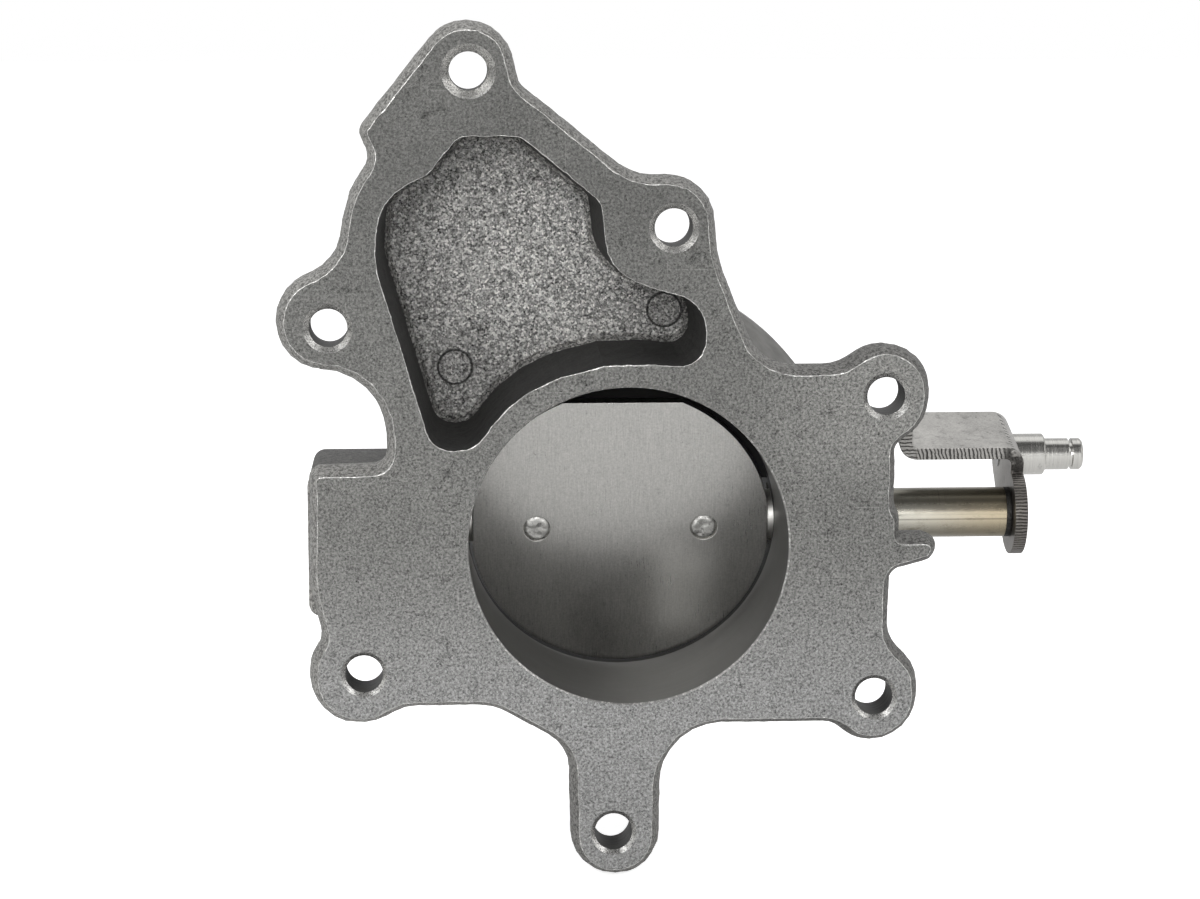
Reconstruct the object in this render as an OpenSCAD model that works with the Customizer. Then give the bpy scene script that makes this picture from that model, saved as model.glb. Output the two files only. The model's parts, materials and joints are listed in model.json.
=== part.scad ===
// Turbine outlet adapter with a butterfly valve, seen from its machined turbine flange.
// The flange face is the plane y = 0 and looks towards -Y. The gas flows along +Y.
// X runs along the valve shaft, towards the lever. Z is up. The origin is the bore centre on the flange face.

/* [Turbine flange] */
// Thickness of the flange
flange_t = 12; // [10:0.5:16]
// How far the cast edge stands out at its parting line
edge_bulge = 2; // [1:0.1:2.5]
// Radius of the bolt holes
bolt_r = 4.5; // [3.5:0.1:5]
// Height of the machined pads behind the bolt holes
pad_h = 0.8; // [0.4:0.1:1.5]
// Radius of those pads
pad_r = 8.6; // [7.5:0.1:9]
// Chamfer of the five small bolt holes
small_chamfer = 0.8; // [0.3:0.1:1.2]
// Chamfer of the upper right bolt hole
middle_chamfer = 1.4; // [0.5:0.1:2]
// Chamfer of the top bolt hole
large_chamfer = 1.9; // [0.5:0.1:2.5]

/* [Gas passage] */
// Radius of the bore
bore_r = 38.1; // [36:0.1:39]
// Chamfer at the mouth of the bore
bore_chamfer = 0.4; // [0.2:0.1:0.8]
// Wall of the barrel round the bore
barrel_wall = 5.9; // [5:0.1:8]
// Length from the flange face to the outlet face
body_l = 70; // [66:1:90]
// Radius of the outlet rim
outlet_r = 58.3; // [52:0.1:64]
// Thickness of the outlet rim at its edge
outlet_rim_t = 7; // [5:0.5:8]
// Slope of the clamp flank, as a rise along the bore
outlet_flank = 3; // [2:0.5:4]
// Width of the raised sealing land round the outlet
seal_land_w = 5; // [3:0.5:7]
// Height of the sealing land
seal_land_h = 1; // [0.5:0.1:2]

/* [Seat ledge] */
// Height of the ledge over the bore's wall, behind the upper half of the plate
ledge_h = 4.6; // [3:0.1:6]
// Thickness of the ledge along the bore
ledge_t = 5; // [3:0.5:8]
// Distance from the bore axis up to the ledge's straight side
ledge_top = 28; // [26:0.5:32]
// Clearance between the ledge and the back of the plate at rest
ledge_clear = 3; // [2:0.5:5]

/* [Cast pocket] */
// Depth of the closed pocket beside the bore
pocket_depth = 38; // [30:1:40]
// Narrowing of the pocket from its mouth to its floor
pocket_draft = 1.4; // [0.5:0.1:2]
// Wall behind and round the pocket
pocket_wall = 5; // [4:0.5:6]
// Radius of the core print rings on the pocket floor
print_r = 4.4; // [3:0.1:5]
// Height of those rings
print_h = 0.3; // [0.2:0.1:0.8]

/* [Bottom rib] */
// Thickness of the rib behind the bottom lug
rib_t = 6; // [4:0.5:8]
// Distance of the rib's foot from the bore axis
rib_foot = 66; // [60:1:68]

/* [Shaft bosses] */
// Distance of the shaft axis behind the flange face
shaft_y = 42; // [40:0.5:46]
// Radius of the boss on the blind side
blind_boss_r = 17.2; // [14:0.1:18]
// Reach of the blind boss from the bore axis
blind_reach = 76; // [72:0.5:80]
// Edge rounding of the blind boss
boss_round = 3; // [1:0.5:4]
// Radius of the boss on the lever side
lever_boss_r = 14.5; // [12:0.5:16]
// Reach of the lever side boss from the bore axis
lever_reach = 62; // [60:0.5:64]

/* [Shaft and bearings] */
// Radius of the valve shaft
shaft_r = 6.25; // [5.5:0.05:6.5]
// Running clearance of the shaft in its bushes
run_gap = 0.05; // [0.02:0.01:0.1]
// Wall of the bushes
bush_wall = 1.7; // [1.2:0.1:2.5]
// Length of the blind side bush
blind_bush_l = 21; // [16:0.5:22]
// Thickness of each seal ring
ring_t = 1.6; // [1:0.1:2]
// Thickness of the pressed washer that keeps the seal rings
keeper_t = 1.5; // [1:0.1:2]
// Thickness of the thrust disc behind the shaft
thrust_t = 2; // [1:0.1:3]
// End play of the shaft against the thrust disc
end_play = 0.15; // [0.05:0.01:0.3]
// Depth of the pressed plug
plug_l = 4; // [3:0.5:6]
// Radius of the pressed plug
plug_r = 10; // [9:0.1:11]

/* [Butterfly] */
// Angle of the plate from square across the bore, as the valve stands at rest
rest_angle = 15.5; // [13:0.5:18]
// Radius of the plate
plate_r = 37; // [36:0.1:37.1]
// Thickness of the plate
plate_t = 3; // [2:0.1:3.5]
// Distance of the plate's front face from the shaft axis
plate_front = 7.5; // [7:0.1:7.8]
// Half width of the plate between its two side flats
plate_half_w = 36.6; // [35.5:0.1:36.8]
// Distance of the straight upper edge from the shaft axis
plate_top = 34; // [30:0.5:35]
// Half the distance between the two rivets
rivet_half_gap = 20.8; // [16:0.1:24]
// Radius of the rivet shanks
rivet_r = 2.6; // [2:0.1:3]
// Radius of the peened rivet ends in the plate
rivet_end_r = 3.3; // [3:0.1:3.8]
// Radius of the rivet heads behind the shaft
rivet_head_r = 4.4; // [4:0.1:4.8]
// Height of those heads
rivet_head_h = 2; // [1.5:0.1:2.5]

/* [Lever] */
// Distance of the lever plate from the bore axis
lever_x = 98.3; // [96:0.1:100]
// Thickness of the lever plate
lever_t = 3.2; // [2.5:0.1:4]
// Radius of the round eye on the shaft
eye_r = 10.6; // [9.5:0.1:12]
// Radius of the shaft spigot through the eye
spigot_r = 4.6; // [4:0.1:5]
// Height of the peened end of the spigot
peen_h = 0.5; // [0.2:0.1:1]
// Width of the dark weld ring between the shaft's shoulder and the lever
weld_w = 1.3; // [0.8:0.1:2]
// Slope of the bent web of the lever
web_slope = 15; // [5:1:20]
// Distance of the web's outer face from the shaft axis
web_h = 17.6; // [16:0.1:18]
// Width of the web along its slope
web_w = 23; // [20:0.5:24]
// Distance of the stop finger's outer face from the bore axis
finger_x = 69.8; // [69:0.1:71]
// Distance of the finger's tip from the shaft axis
finger_tip = 24.5; // [23:0.1:26]
// Width of the finger, from the front edge of the web
finger_w = 7; // [5:0.5:10]
// Inner radius of both bends
bend_r = 1.6; // [1:0.1:2.5]

/* [Actuator pin] */
// How far the pin's axis lies behind the shaft axis
pin_back = 16; // [15:0.5:17]
// How far the pin's axis lies above the shaft axis
pin_up = 12; // [10.5:0.5:12.5]
// Radius of the pin's collar
collar_r = 5.3; // [4.8:0.1:5.6]
// Length of the collar
collar_l = 8.5; // [6:0.1:12]
// Radius of the pin
pin_r = 4.05; // [3.5:0.05:4.5]
// Length of the pin past its collar
pin_l = 9.9; // [8:0.1:14]
// Width of the clip groove
groove_w = 0.9; // [0.7:0.1:1.3]
// Depth of the clip groove
groove_d = 0.8; // [0.4:0.1:1]
// Length of the head past the groove
tip_l = 2.7; // [2:0.1:4]
// Radius of the pin's tail through the lever
tail_r = 3; // [2.5:0.1:3.5]

/* [Hidden] */
$fn = 64;

// How finely the outlines' corners are drawn, in degrees for each step
arc_step = 16;
// How far cutting shapes pass through a face
over = 1;
// How far ribs and bosses run into the barrel's wall
boss_lap = 4;
// Height of the rib's foot behind the flange
rib_toe = 3;
// Rounding of the pocket's floor edge, and of the edge behind its shell
floor_round = 2;
shell_round = 3;
// Small fits: bush ends behind the bore wall, gap beside each seal ring, hole of the keeper round the shaft,
// room at the ends of the shaft's flat
bush_recess = 0.6;
ring_gap = 0.1;
keeper_gap = 0.3;
flat_gap = 0.2;
// Wall of the pressed plug, depth of the peened rivet end in the plate, and of the rivet head's seat in the shaft
plug_wall = 1.5;
rivet_sink = 0.8;
rivet_seat = 0.75;
// Radius of the lever's ear about the pin, and how far the straight side starts inside the eye and the ear
ear_r = 8;
side_inset = 0.05;

barrel_r = bore_r + barrel_wall;
bush_r = shaft_r + run_gap + bush_wall;
bush_inner = bore_r + bush_recess;
blind_shoulder = bush_inner + blind_bush_l;
shaft_end = blind_shoulder - end_play;
keeper_r = bush_r + 1.4;
lever_bush_l = lever_reach - keeper_t - 2 * ring_t - 3 * ring_gap - bush_inner;
shaft_shoulder = lever_x - weld_w;
// The ledge stops short of the shaft's bush seats, and its front face clears the sloping back of the plate
ledge_foot = bush_r + 2;
ledge_y = shaft_y - (plate_front - plate_t + ledge_foot * sin(rest_angle)) / cos(rest_angle) + ledge_clear;

// Bolt holes, clockwise from the top: [x, z, chamfer]
bolt_holes = [[-37.3, 112, large_chamfer], [10.5, 75.6, middle_chamfer], [61, 35.5, small_chamfer],
              [59, -37.3, small_chamfer], [-3.6, -69.9, small_chamfer], [-63, -30.3, small_chamfer],
              [-70.4, 52.5, small_chamfer]];

// Corners of the machined flange face, clockwise from the front: [x, z, corner radius]
flange_path = [
    // top lug, with a long straight side on its left
    [-60.9, 98.2, 1.2], [-42.2, 121.6, 9.2], [-30.6, 121.6, 8.6], [-27.2, 107.9, 7],
    // upper right lug
    [0.6, 85.6, 14], [18.7, 86.1, 9.6], [18.5, 69.5, 30],
    // right lug
    [29.9, 40.7, 14], [50.5, 40.7, 12], [58, 45.6, 9], [69.9, 45.6, 9], [69.9, 29.9, 8.9], [61.9, 24.3, 5],
    // step and small ledge below the shaft
    [61.9, 8.6, 2.5], [63.2, 5.6, 2.5], [63.2, -0.1, 2.2], [72.7, -0.1, 1.2], [71.4, -2.9, 1.2], [61, -5.8, 5],
    // lower right lug
    [60.7, -24.6, 10], [68, -31.6, 8], [68, -46.9, 9.5], [56, -46.9, 7], [50, -42.3, 9],
    // long bottom lug
    [13.9, -42.3, 16], [5.9, -54.5, 15], [5.6, -79.4, 8.6], [-11.7, -79.4, 8.6], [-12.3, -48.4, 12],
    // lower left lug
    [-32, -37.3, 10], [-54, -37.2, 14], [-60.5, -41.1, 8], [-74, -41.1, 9.2], [-74, -27.1, 8.5], [-70.6, -22.4, 7],
    // face of the blind shaft boss
    [-73.9, -9.2, 14], [-73.5, 17.2, 0.8], [-55.1, 17.8, 5.6],
    // left lug and the hollow above it
    [-55.2, 44.3, 17.5], [-80.7, 44.2, 9.2], [-80.7, 60.4, 9.2], [-66.9, 66.4, 13], [-63.7, 83.5, 20],
    [-58, 91.4, 7]];

// Corners of the pocket's mouth, clockwise from the front
pocket_path = [
    [-39.8, 97, 4], [-25.5, 97, 5], [-6.6, 81.6, 4.5], [-4.9, 64.9, 12], [18.1, 57.6, 8.5], [18.1, 42.3, 6.5],
    [-6, 44.6, 44], [-27.5, 36, 30], [-36.5, 23.3, 8], [-46.3, 23.3, 6.5], [-59.2, 67, 14], [-58.4, 82.3, 13],
    [-46.5, 88.6, 5]];

// Core print rings on the pocket floor
core_prints = [[-40.7, 38.3], [10.9, 52.2]];

function unit(v) = v / norm(v);
function across(v) = [-v[1], v[0]];
function spot(path, i) = [path[i % len(path)][0], path[i % len(path)][1]];
function run(path, i) = unit(spot(path, i) - spot(path, i + len(path) - 1));

// One rounded corner of a path, with its two sides moved out by grow
function corner(path, i, grow) =
    let (u1 = run(path, i), u2 = run(path, i + 1),
         turn = atan2(cross(u1, u2), u1 * u2),
         tip = spot(path, i) + grow * (across(u1) + across(u2)) / (1 + u1 * u2),
         side = turn < 0 ? -1 : 1,
         r = max(path[i][2] - side * grow, 0.1),
         centre = tip - r * tan(abs(turn) / 2) * u1 + side * r * across(u1),
         arm = -side * r * across(u1),
         steps = ceil(abs(turn) / arc_step))
    [for (k = [0 : steps]) let (t = turn * k / steps)
        centre + [arm[0] * cos(t) - arm[1] * sin(t), arm[0] * sin(t) + arm[1] * cos(t)]];
function outline(path, grow) = [for (i = [0 : len(path) - 1]) each corner(path, i, grow)];

// A solid through copies of one outline, each at a station [y, grow]. The resize keeps its size, and has its hollow
// end faces meshed whole.
module loft(path, stations) {
    loops = [for (s = stations) [for (p = outline(path, s[1])) [p[0], s[0], p[1]]]];
    n = len(loops[0]);
    last = (len(stations) - 1) * n;
    resize([0, 0, 0]) polyhedron([for (l = loops) each l], concat(
        [[for (i = [n - 1 : -1 : 0]) i], [for (i = [0 : n - 1]) last + i]],
        [for (s = [0 : len(stations) - 2], i = [0 : n - 1]) let (j = (i + 1) % n)
            [s * n + i, s * n + n + i, s * n + n + j, s * n + j]]), convexity = 12);
}

// A cylinder along +Y from y0 to y1
module along_y(r, y0, y1) translate([0, y0, 0]) rotate([-90, 0, 0]) cylinder(h = y1 - y0, r = r);

// A cylinder on the shaft axis from x0 to x1
module along_x(r, x0, x1) translate([x0, shaft_y, 0]) rotate([0, 90, 0]) cylinder(h = x1 - x0, r = r);

// A tube on the shaft axis
module sleeve(r_out, r_in, x0, x1) difference() {
    along_x(r_out, x0, x1);
    along_x(r_in, x0 - over, x1 + over);
}

// A turned profile of [x, r] points on the shaft axis
module turned(points) translate([0, shaft_y, 0]) rotate([0, 90, 0])
    rotate_extrude() polygon([for (p = points) [p[1], p[0]]]);

module flange_plate() {
    loft(flange_path, [[0, 0], [flange_t * 0.2, edge_bulge * 0.62], [flange_t / 2, edge_bulge],
                       [flange_t, edge_bulge * 0.65]]);
    for (h = bolt_holes) translate([h[0], 0, h[1]]) along_y(pad_r, flange_t / 2, flange_t + pad_h);
}

module bolt_hole(chamfer) {
    along_y(bolt_r, -over, flange_t + pad_h + over);
    translate([0, -over, 0]) rotate([-90, 0, 0])
        cylinder(h = chamfer + over, r1 = bolt_r + chamfer + over, r2 = bolt_r);
}

// The block that carries the blind end of the shaft: flat behind the flange, round about the shaft
module blind_boss() {
    left = -blind_reach;
    translate([0, shaft_y, 0]) rotate([90, 0, 0]) linear_extrude(shaft_y - flange_t / 2) difference() {
        translate([left, -blind_boss_r]) square([blind_reach - barrel_r + boss_lap, 2 * blind_boss_r]);
        for (s = [-1, 1]) translate([left, s * blind_boss_r]) difference() {
            square(2 * boss_round, center = true);
            translate([boss_round, -s * boss_round]) circle(boss_round);
        }
    }
    translate([0, shaft_y, 0]) rotate([0, 90, 0]) rotate_extrude() difference() {
        translate([0, left]) square([blind_boss_r, blind_reach - barrel_r + boss_lap]);
        translate([blind_boss_r, left]) difference() {
            square(2 * boss_round, center = true);
            translate([-boss_round, boss_round]) circle(boss_round);
        }
    }
}

// Barrel, outlet rim with its sloping clamp flank, and the sealing land on the outlet face
module barrel() {
    rim_y = body_l - seal_land_h - outlet_rim_t;
    rotate([-90, 0, 0]) rotate_extrude() polygon([
        [0, flange_t / 2], [barrel_r, flange_t / 2], [barrel_r, rim_y - 2 * outlet_flank],
        [barrel_r + 3, rim_y - outlet_flank], [outlet_r, rim_y], [outlet_r, body_l - seal_land_h - 1],
        [outlet_r - 1, body_l - seal_land_h], [barrel_r + seal_land_w, body_l - seal_land_h],
        [barrel_r + seal_land_w - seal_land_h, body_l], [0, body_l]]);
}

// Rib that stiffens the long bottom lug
module bottom_rib() {
    translate([bolt_holes[4][0] - rib_t / 2, 0, 0]) rotate([90, 0, 90]) linear_extrude(rib_t)
        polygon([[flange_t / 2, -barrel_r + boss_lap], [flange_t / 2, -rib_foot],
                 [flange_t + rib_toe, -rib_foot + 2 * rib_toe], [shaft_y, -barrel_r], [shaft_y, -barrel_r + boss_lap]]);
}

module pocket_shell() loft(pocket_path, [[flange_t / 2, pocket_wall], [pocket_depth, pocket_wall - pocket_draft],
    [pocket_depth + pocket_wall, pocket_wall - pocket_draft - shell_round]]);

module pocket_hollow() difference() {
    loft(pocket_path, [[-over, pocket_draft * over / pocket_depth], [pocket_depth - floor_round, -pocket_draft],
                       [pocket_depth, -pocket_draft - floor_round * 0.7]]);
    for (p = core_prints) translate([p[0], 0, p[1]]) difference() {
        along_y(print_r, pocket_depth - print_h, pocket_depth + over);
        along_y(print_r - 0.7, pocket_depth - over, pocket_depth + 2 * over);
    }
}

// Ledge round the upper half of the bore, close behind the plate. Its top side is straight, as the plate's edge is
module seat_ledge() difference() {
    along_y(bore_r + over, ledge_y, ledge_y + ledge_t);
    intersection() {
        along_y(bore_r - ledge_h, ledge_y - over, ledge_y + ledge_t + over);
        translate([-barrel_r, 0, ledge_top - 2 * barrel_r]) cube([2 * barrel_r, body_l, 2 * barrel_r]);
    }
    translate([-barrel_r, 0, ledge_foot - 2 * barrel_r]) cube([2 * barrel_r, body_l, 2 * barrel_r]);
}

module gas_passage() difference() {
    along_y(bore_r, -over, body_l + over);
    seat_ledge();
}

module housing() color("dimgray") difference() {
    union() {
        flange_plate();
        blind_boss();
        along_x(lever_boss_r, bore_r, lever_reach);
        barrel();
        bottom_rib();
        pocket_shell();
    }
    for (h = bolt_holes) translate([h[0], 0, h[1]]) bolt_hole(h[2]);
    pocket_hollow();
    gas_passage();
    translate([0, -over, 0]) rotate([-90, 0, 0])
        cylinder(h = bore_chamfer + over, r1 = bore_r + bore_chamfer + over, r2 = bore_r);
    // blind side: bush seat, thrust seat, relief and plug seat
    along_x(bush_r, -blind_shoulder - thrust_t, 0);
    along_x(bush_r - 2, -blind_reach + over, 0);
    along_x(plug_r, -blind_reach - over, -blind_reach + plug_l);
    // lever side: bush and seal ring seat, keeper seat
    along_x(bush_r, 0, lever_reach);
    along_x(keeper_r, lever_reach - keeper_t, lever_reach + over);
}

module blind_side_bush() color("darkkhaki")
    sleeve(bush_r, shaft_r + run_gap, -blind_shoulder, -bush_inner);

module thrust_disc() color("goldenrod") along_x(bush_r, -blind_shoulder - thrust_t, -blind_shoulder);

// A cup pressed into the open end of the blind boss
module blind_side_plug() color("silver") difference() {
    along_x(plug_r, -blind_reach, -blind_reach + plug_l);
    along_x(plug_r - plug_wall, -blind_reach - over, -blind_reach + plug_l - plug_wall);
}

module lever_side_bush() color("darkkhaki")
    sleeve(bush_r, shaft_r + run_gap, bush_inner, bush_inner + lever_bush_l);

module seal_ring(place) {
    x0 = bush_inner + lever_bush_l + ring_gap + place * (ring_t + ring_gap);
    sleeve(bush_r, shaft_r + run_gap, x0, x0 + ring_t);
}
module inner_seal_ring() color("darkslategray") seal_ring(0);
module outer_seal_ring() color("darkslategray") seal_ring(1);

module seal_ring_keeper() color("silver")
    sleeve(keeper_r, shaft_r + keeper_gap, lever_reach - keeper_t, lever_reach);

// The frame of the butterfly plate: local Y is square to the plate, local Z lies up the plate
module plate_frame() translate([0, shaft_y, 0]) rotate([rest_angle, 0, 0]) children();

module valve_shaft() color("tan") difference() {
    turned([[-shaft_end, 0], [-shaft_end, shaft_r - 0.5], [-shaft_end + 0.5, shaft_r], [shaft_shoulder, shaft_r],
            [shaft_shoulder, spigot_r], [lever_x + lever_t, spigot_r], [lever_x + lever_t, spigot_r + peen_h],
            [lever_x + lever_t + peen_h, spigot_r], [lever_x + lever_t + peen_h, 0]]);
    plate_frame() {
        translate([-plate_half_w - flat_gap, -shaft_r - over, -shaft_r - over])
            cube([2 * (plate_half_w + flat_gap), shaft_r + over + plate_t - plate_front, 2 * (shaft_r + over)]);
        for (s = [-1, 1]) translate([s * rivet_half_gap, 0, 0]) {
            along_local_y(rivet_r, -shaft_r - over, shaft_r + over);
            along_local_y(rivet_head_r + 0.2, shaft_r - rivet_seat, shaft_r + over);
        }
    }
}

// A cylinder along local Y
module along_local_y(r, y0, y1) translate([0, y0, 0]) rotate([-90, 0, 0]) cylinder(h = y1 - y0, r = r);

module butterfly_plate() color("lightgray") plate_frame() difference() {
    translate([0, plate_t - plate_front, 0]) rotate([90, 0, 0]) linear_extrude(plate_t) intersection() {
        circle(plate_r);
        translate([-plate_half_w, -plate_r]) square([2 * plate_half_w, plate_r + plate_top]);
    }
    for (s = [-1, 1]) translate([s * rivet_half_gap, 0, 0]) {
        along_local_y(rivet_r, -plate_front - over, plate_front);
        along_local_y(rivet_end_r, -plate_front - over, -plate_front + rivet_sink);
    }
}

// Peened flush in the plate, with a head behind the shaft
module plate_rivet(side) plate_frame() translate([side * rivet_half_gap, 0, 0]) {
    along_local_y(rivet_r, -plate_front, shaft_r - rivet_seat);
    along_local_y(rivet_end_r, -plate_front, -plate_front + rivet_sink);
    translate([0, shaft_r - rivet_seat, 0]) rotate([-90, 0, 0]) rotate_extrude() polygon([
        [0, 0], [rivet_head_r, 0], [rivet_head_r, rivet_head_h * 0.5], [rivet_head_r * 0.85, rivet_head_h * 0.85],
        [rivet_head_r * 0.5, rivet_head_h], [0, rivet_head_h]]);
}
module left_plate_rivet() color("darkgray") plate_rivet(-1);
module right_plate_rivet() color("darkgray") plate_rivet(1);

module shaft_weld_ring() color("black") sleeve(shaft_r, spigot_r, shaft_shoulder, lever_x);

// The frame of the lever: local Y lies along the slope of the web, local Z is square to it
module lever_frame() translate([0, shaft_y, 0]) rotate([web_slope, 0, 0]) children();

// Flat outline of the lever arm about the shaft, in the lever's frame: the eye, the pin's ear and the strip to the web
module arm_outline() {
    ear = [pin_back * cos(web_slope) + pin_up * sin(web_slope), pin_up * cos(web_slope) - pin_back * sin(web_slope)];
    lean = atan2(ear[1], ear[0]) - acos((eye_r - ear_r) / norm(ear));
    away = [cos(lean), sin(lean)];
    bend_h = web_h - lever_t - bend_r;
    difference() {
        union() {
            circle(eye_r);
            translate(ear) circle(ear_r);
            polygon([[0, 0], (eye_r - side_inset) * away, ear + (ear_r - side_inset) * away,
                     [web_w, bend_h + over], [0, bend_h + over]]);
        }
        circle(spigot_r);
        translate(ear) circle(tail_r);
        translate([-eye_r, bend_h]) square([eye_r + web_w + 2 * ear_r, ear_r]);
    }
}

// Section of the web and its two bends, as [x, height above the shaft axis]
module web_section() {
    arm_bend = [lever_x - bend_r, web_h - lever_t - bend_r];
    finger_bend = [finger_x + lever_t + bend_r, web_h + bend_r];
    outer = bend_r + lever_t;
    translate(arm_bend) intersection() {
        quarter_ring(outer);
        square(outer);
    }
    translate([finger_bend[0], web_h - lever_t]) square([arm_bend[0] - finger_bend[0], lever_t]);
    translate(finger_bend) intersection() {
        quarter_ring(outer);
        translate([-outer, -outer]) square(outer);
    }
    translate([finger_x, finger_bend[1]]) square([lever_t, finger_tip - finger_bend[1]]);
}
module quarter_ring(outer) difference() {
    circle(outer);
    circle(bend_r);
}

module actuator_lever() color("gainsboro") lever_frame() {
    translate([lever_x, 0, 0]) rotate([90, 0, 90]) linear_extrude(lever_t) arm_outline();
    difference() {
        translate([0, web_w, 0]) rotate([90, 0, 0]) linear_extrude(web_w) web_section();
        // behind the finger the web ends flat
        translate([finger_x - over, finger_w, web_h - lever_t - over])
            cube([lever_t + bend_r + over, web_w, finger_tip + over]);
    }
}

module actuator_pin() color("whitesmoke") {
    collar_x = lever_x + lever_t;
    neck_x = collar_x + collar_l;
    end_x = neck_x + pin_l;
    groove_x = end_x - tip_l - groove_w;
    translate([0, pin_back, pin_up]) turned([
        [lever_x - peen_h / 2, 0], [lever_x - peen_h / 2, tail_r], [lever_x, tail_r + peen_h / 2], [lever_x, tail_r],
        [collar_x, tail_r], [collar_x, collar_r], [neck_x - 0.4, collar_r], [neck_x, collar_r - 0.4],
        [neck_x, pin_r], [groove_x, pin_r], [groove_x, pin_r - groove_d], [groove_x + groove_w, pin_r - groove_d],
        [groove_x + groove_w, pin_r], [end_x - 0.6, pin_r], [end_x, pin_r - 0.6], [end_x, 0]]);
}

housing();
blind_side_bush();
thrust_disc();
blind_side_plug();
lever_side_bush();
inner_seal_ring();
outer_seal_ring();
seal_ring_keeper();
valve_shaft();
butterfly_plate();
left_plate_rivet();
right_plate_rivet();
shaft_weld_ring();
actuator_lever();
actuator_pin();
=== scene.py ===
"""Looks of the exhaust pipe adapter: a cast turbine outlet with a butterfly valve, a bent lever and a pin.
Lengths in metres, in the frame of the CAD part: flange face at y = 0, gas along +Y, shaft along +X, Z up."""
import json
import math

import bpy
import numpy as np
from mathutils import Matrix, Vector, noise

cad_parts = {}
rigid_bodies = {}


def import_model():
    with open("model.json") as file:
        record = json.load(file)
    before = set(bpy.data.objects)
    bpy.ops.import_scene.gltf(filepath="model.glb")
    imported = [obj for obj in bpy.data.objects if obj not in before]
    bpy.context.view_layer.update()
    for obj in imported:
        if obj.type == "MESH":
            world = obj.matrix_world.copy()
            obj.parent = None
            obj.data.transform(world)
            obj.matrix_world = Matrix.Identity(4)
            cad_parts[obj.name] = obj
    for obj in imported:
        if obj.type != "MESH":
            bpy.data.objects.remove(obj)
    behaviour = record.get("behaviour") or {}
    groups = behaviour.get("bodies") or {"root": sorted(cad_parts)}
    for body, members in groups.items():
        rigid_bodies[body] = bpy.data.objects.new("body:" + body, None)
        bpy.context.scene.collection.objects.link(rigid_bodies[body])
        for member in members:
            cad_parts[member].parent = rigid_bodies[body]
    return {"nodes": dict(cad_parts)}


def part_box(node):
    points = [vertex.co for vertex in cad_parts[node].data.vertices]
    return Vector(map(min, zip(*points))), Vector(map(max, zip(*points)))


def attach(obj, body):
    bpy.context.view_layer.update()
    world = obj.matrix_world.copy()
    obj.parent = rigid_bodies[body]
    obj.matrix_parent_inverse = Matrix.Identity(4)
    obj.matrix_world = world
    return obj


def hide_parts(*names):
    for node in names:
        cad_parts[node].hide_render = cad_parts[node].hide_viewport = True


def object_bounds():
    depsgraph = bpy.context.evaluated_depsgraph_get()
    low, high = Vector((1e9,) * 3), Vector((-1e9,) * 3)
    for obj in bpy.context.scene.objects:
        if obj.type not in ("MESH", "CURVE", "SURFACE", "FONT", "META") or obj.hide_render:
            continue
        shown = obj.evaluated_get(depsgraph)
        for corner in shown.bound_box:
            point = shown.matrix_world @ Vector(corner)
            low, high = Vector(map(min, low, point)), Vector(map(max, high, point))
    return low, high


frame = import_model()
cad_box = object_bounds()

MM = 0.001

# places and sizes that the looks share with the part
BORE_R = 38.1 * MM
SHAFT_Y = 42 * MM
REST_TURN = math.radians(15.5)  # the plate's lean at rest
RIVET_SEAT = -6.8 * MM  # a rivet's peened end starts here, square to the plate from the shaft's axis
WEB_TURN = math.radians(15)  # the slope of the lever's web
ARM_START = 98 * MM  # along X, where the lever's arm begins
FLANGE_T = 12 * MM
POCKET_DEPTH = 38 * MM
POCKET_LOW = (-62 * MM, 0, 20 * MM)
POCKET_HIGH = (22 * MM, 40 * MM, 100 * MM)
POCKET_MIDDLE = (-20 * MM, 64 * MM)
BODY_L = 70 * MM
BARREL_R = 44 * MM
HOLE_R = 4.5 * MM
PAD_FACE = 12.8 * MM  # the spot faces behind the bolt holes
RIM_START = BODY_L - 11.5 * MM  # the outlet's clamp rim, along the gas
RIM_R = 58.5 * MM
PIN_Z = sum(corner[2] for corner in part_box("actuator_pin")) / 2
CORE_PRINTS = [(-40.7 * MM, 38.3 * MM), (10.9 * MM, 52.2 * MM)]
PRINT_R = 4.2 * MM
# bolt holes: x, z, chamfer of the solid, chamfer as seen, in millimetres
HOLES = [(-37.3, 112, 1.9, 1.9), (10.5, 75.6, 1.4, 1.4), (61, 35.5, 0.8, 1.2), (59, -37.3, 0.8, 1.0),
         (-3.6, -69.9, 0.8, 1.0), (-63, -30.3, 0.8, 1.0), (-70.4, 52.5, 0.8, 1.3)]
CHAMFER_END = HOLE_R + 2.1 * MM

# how near to a plane a corner or a face counts as lying in it
IN_PLANE = 0.01 * MM
NEAR_PLANE = 0.05 * MM

# the angle between two faces from which their edge is sharp, and the same on pieces with an uneven skin
SHARP = math.radians(35)
SHARP_UNEVEN = math.radians(40)


# Shader maths

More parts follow.
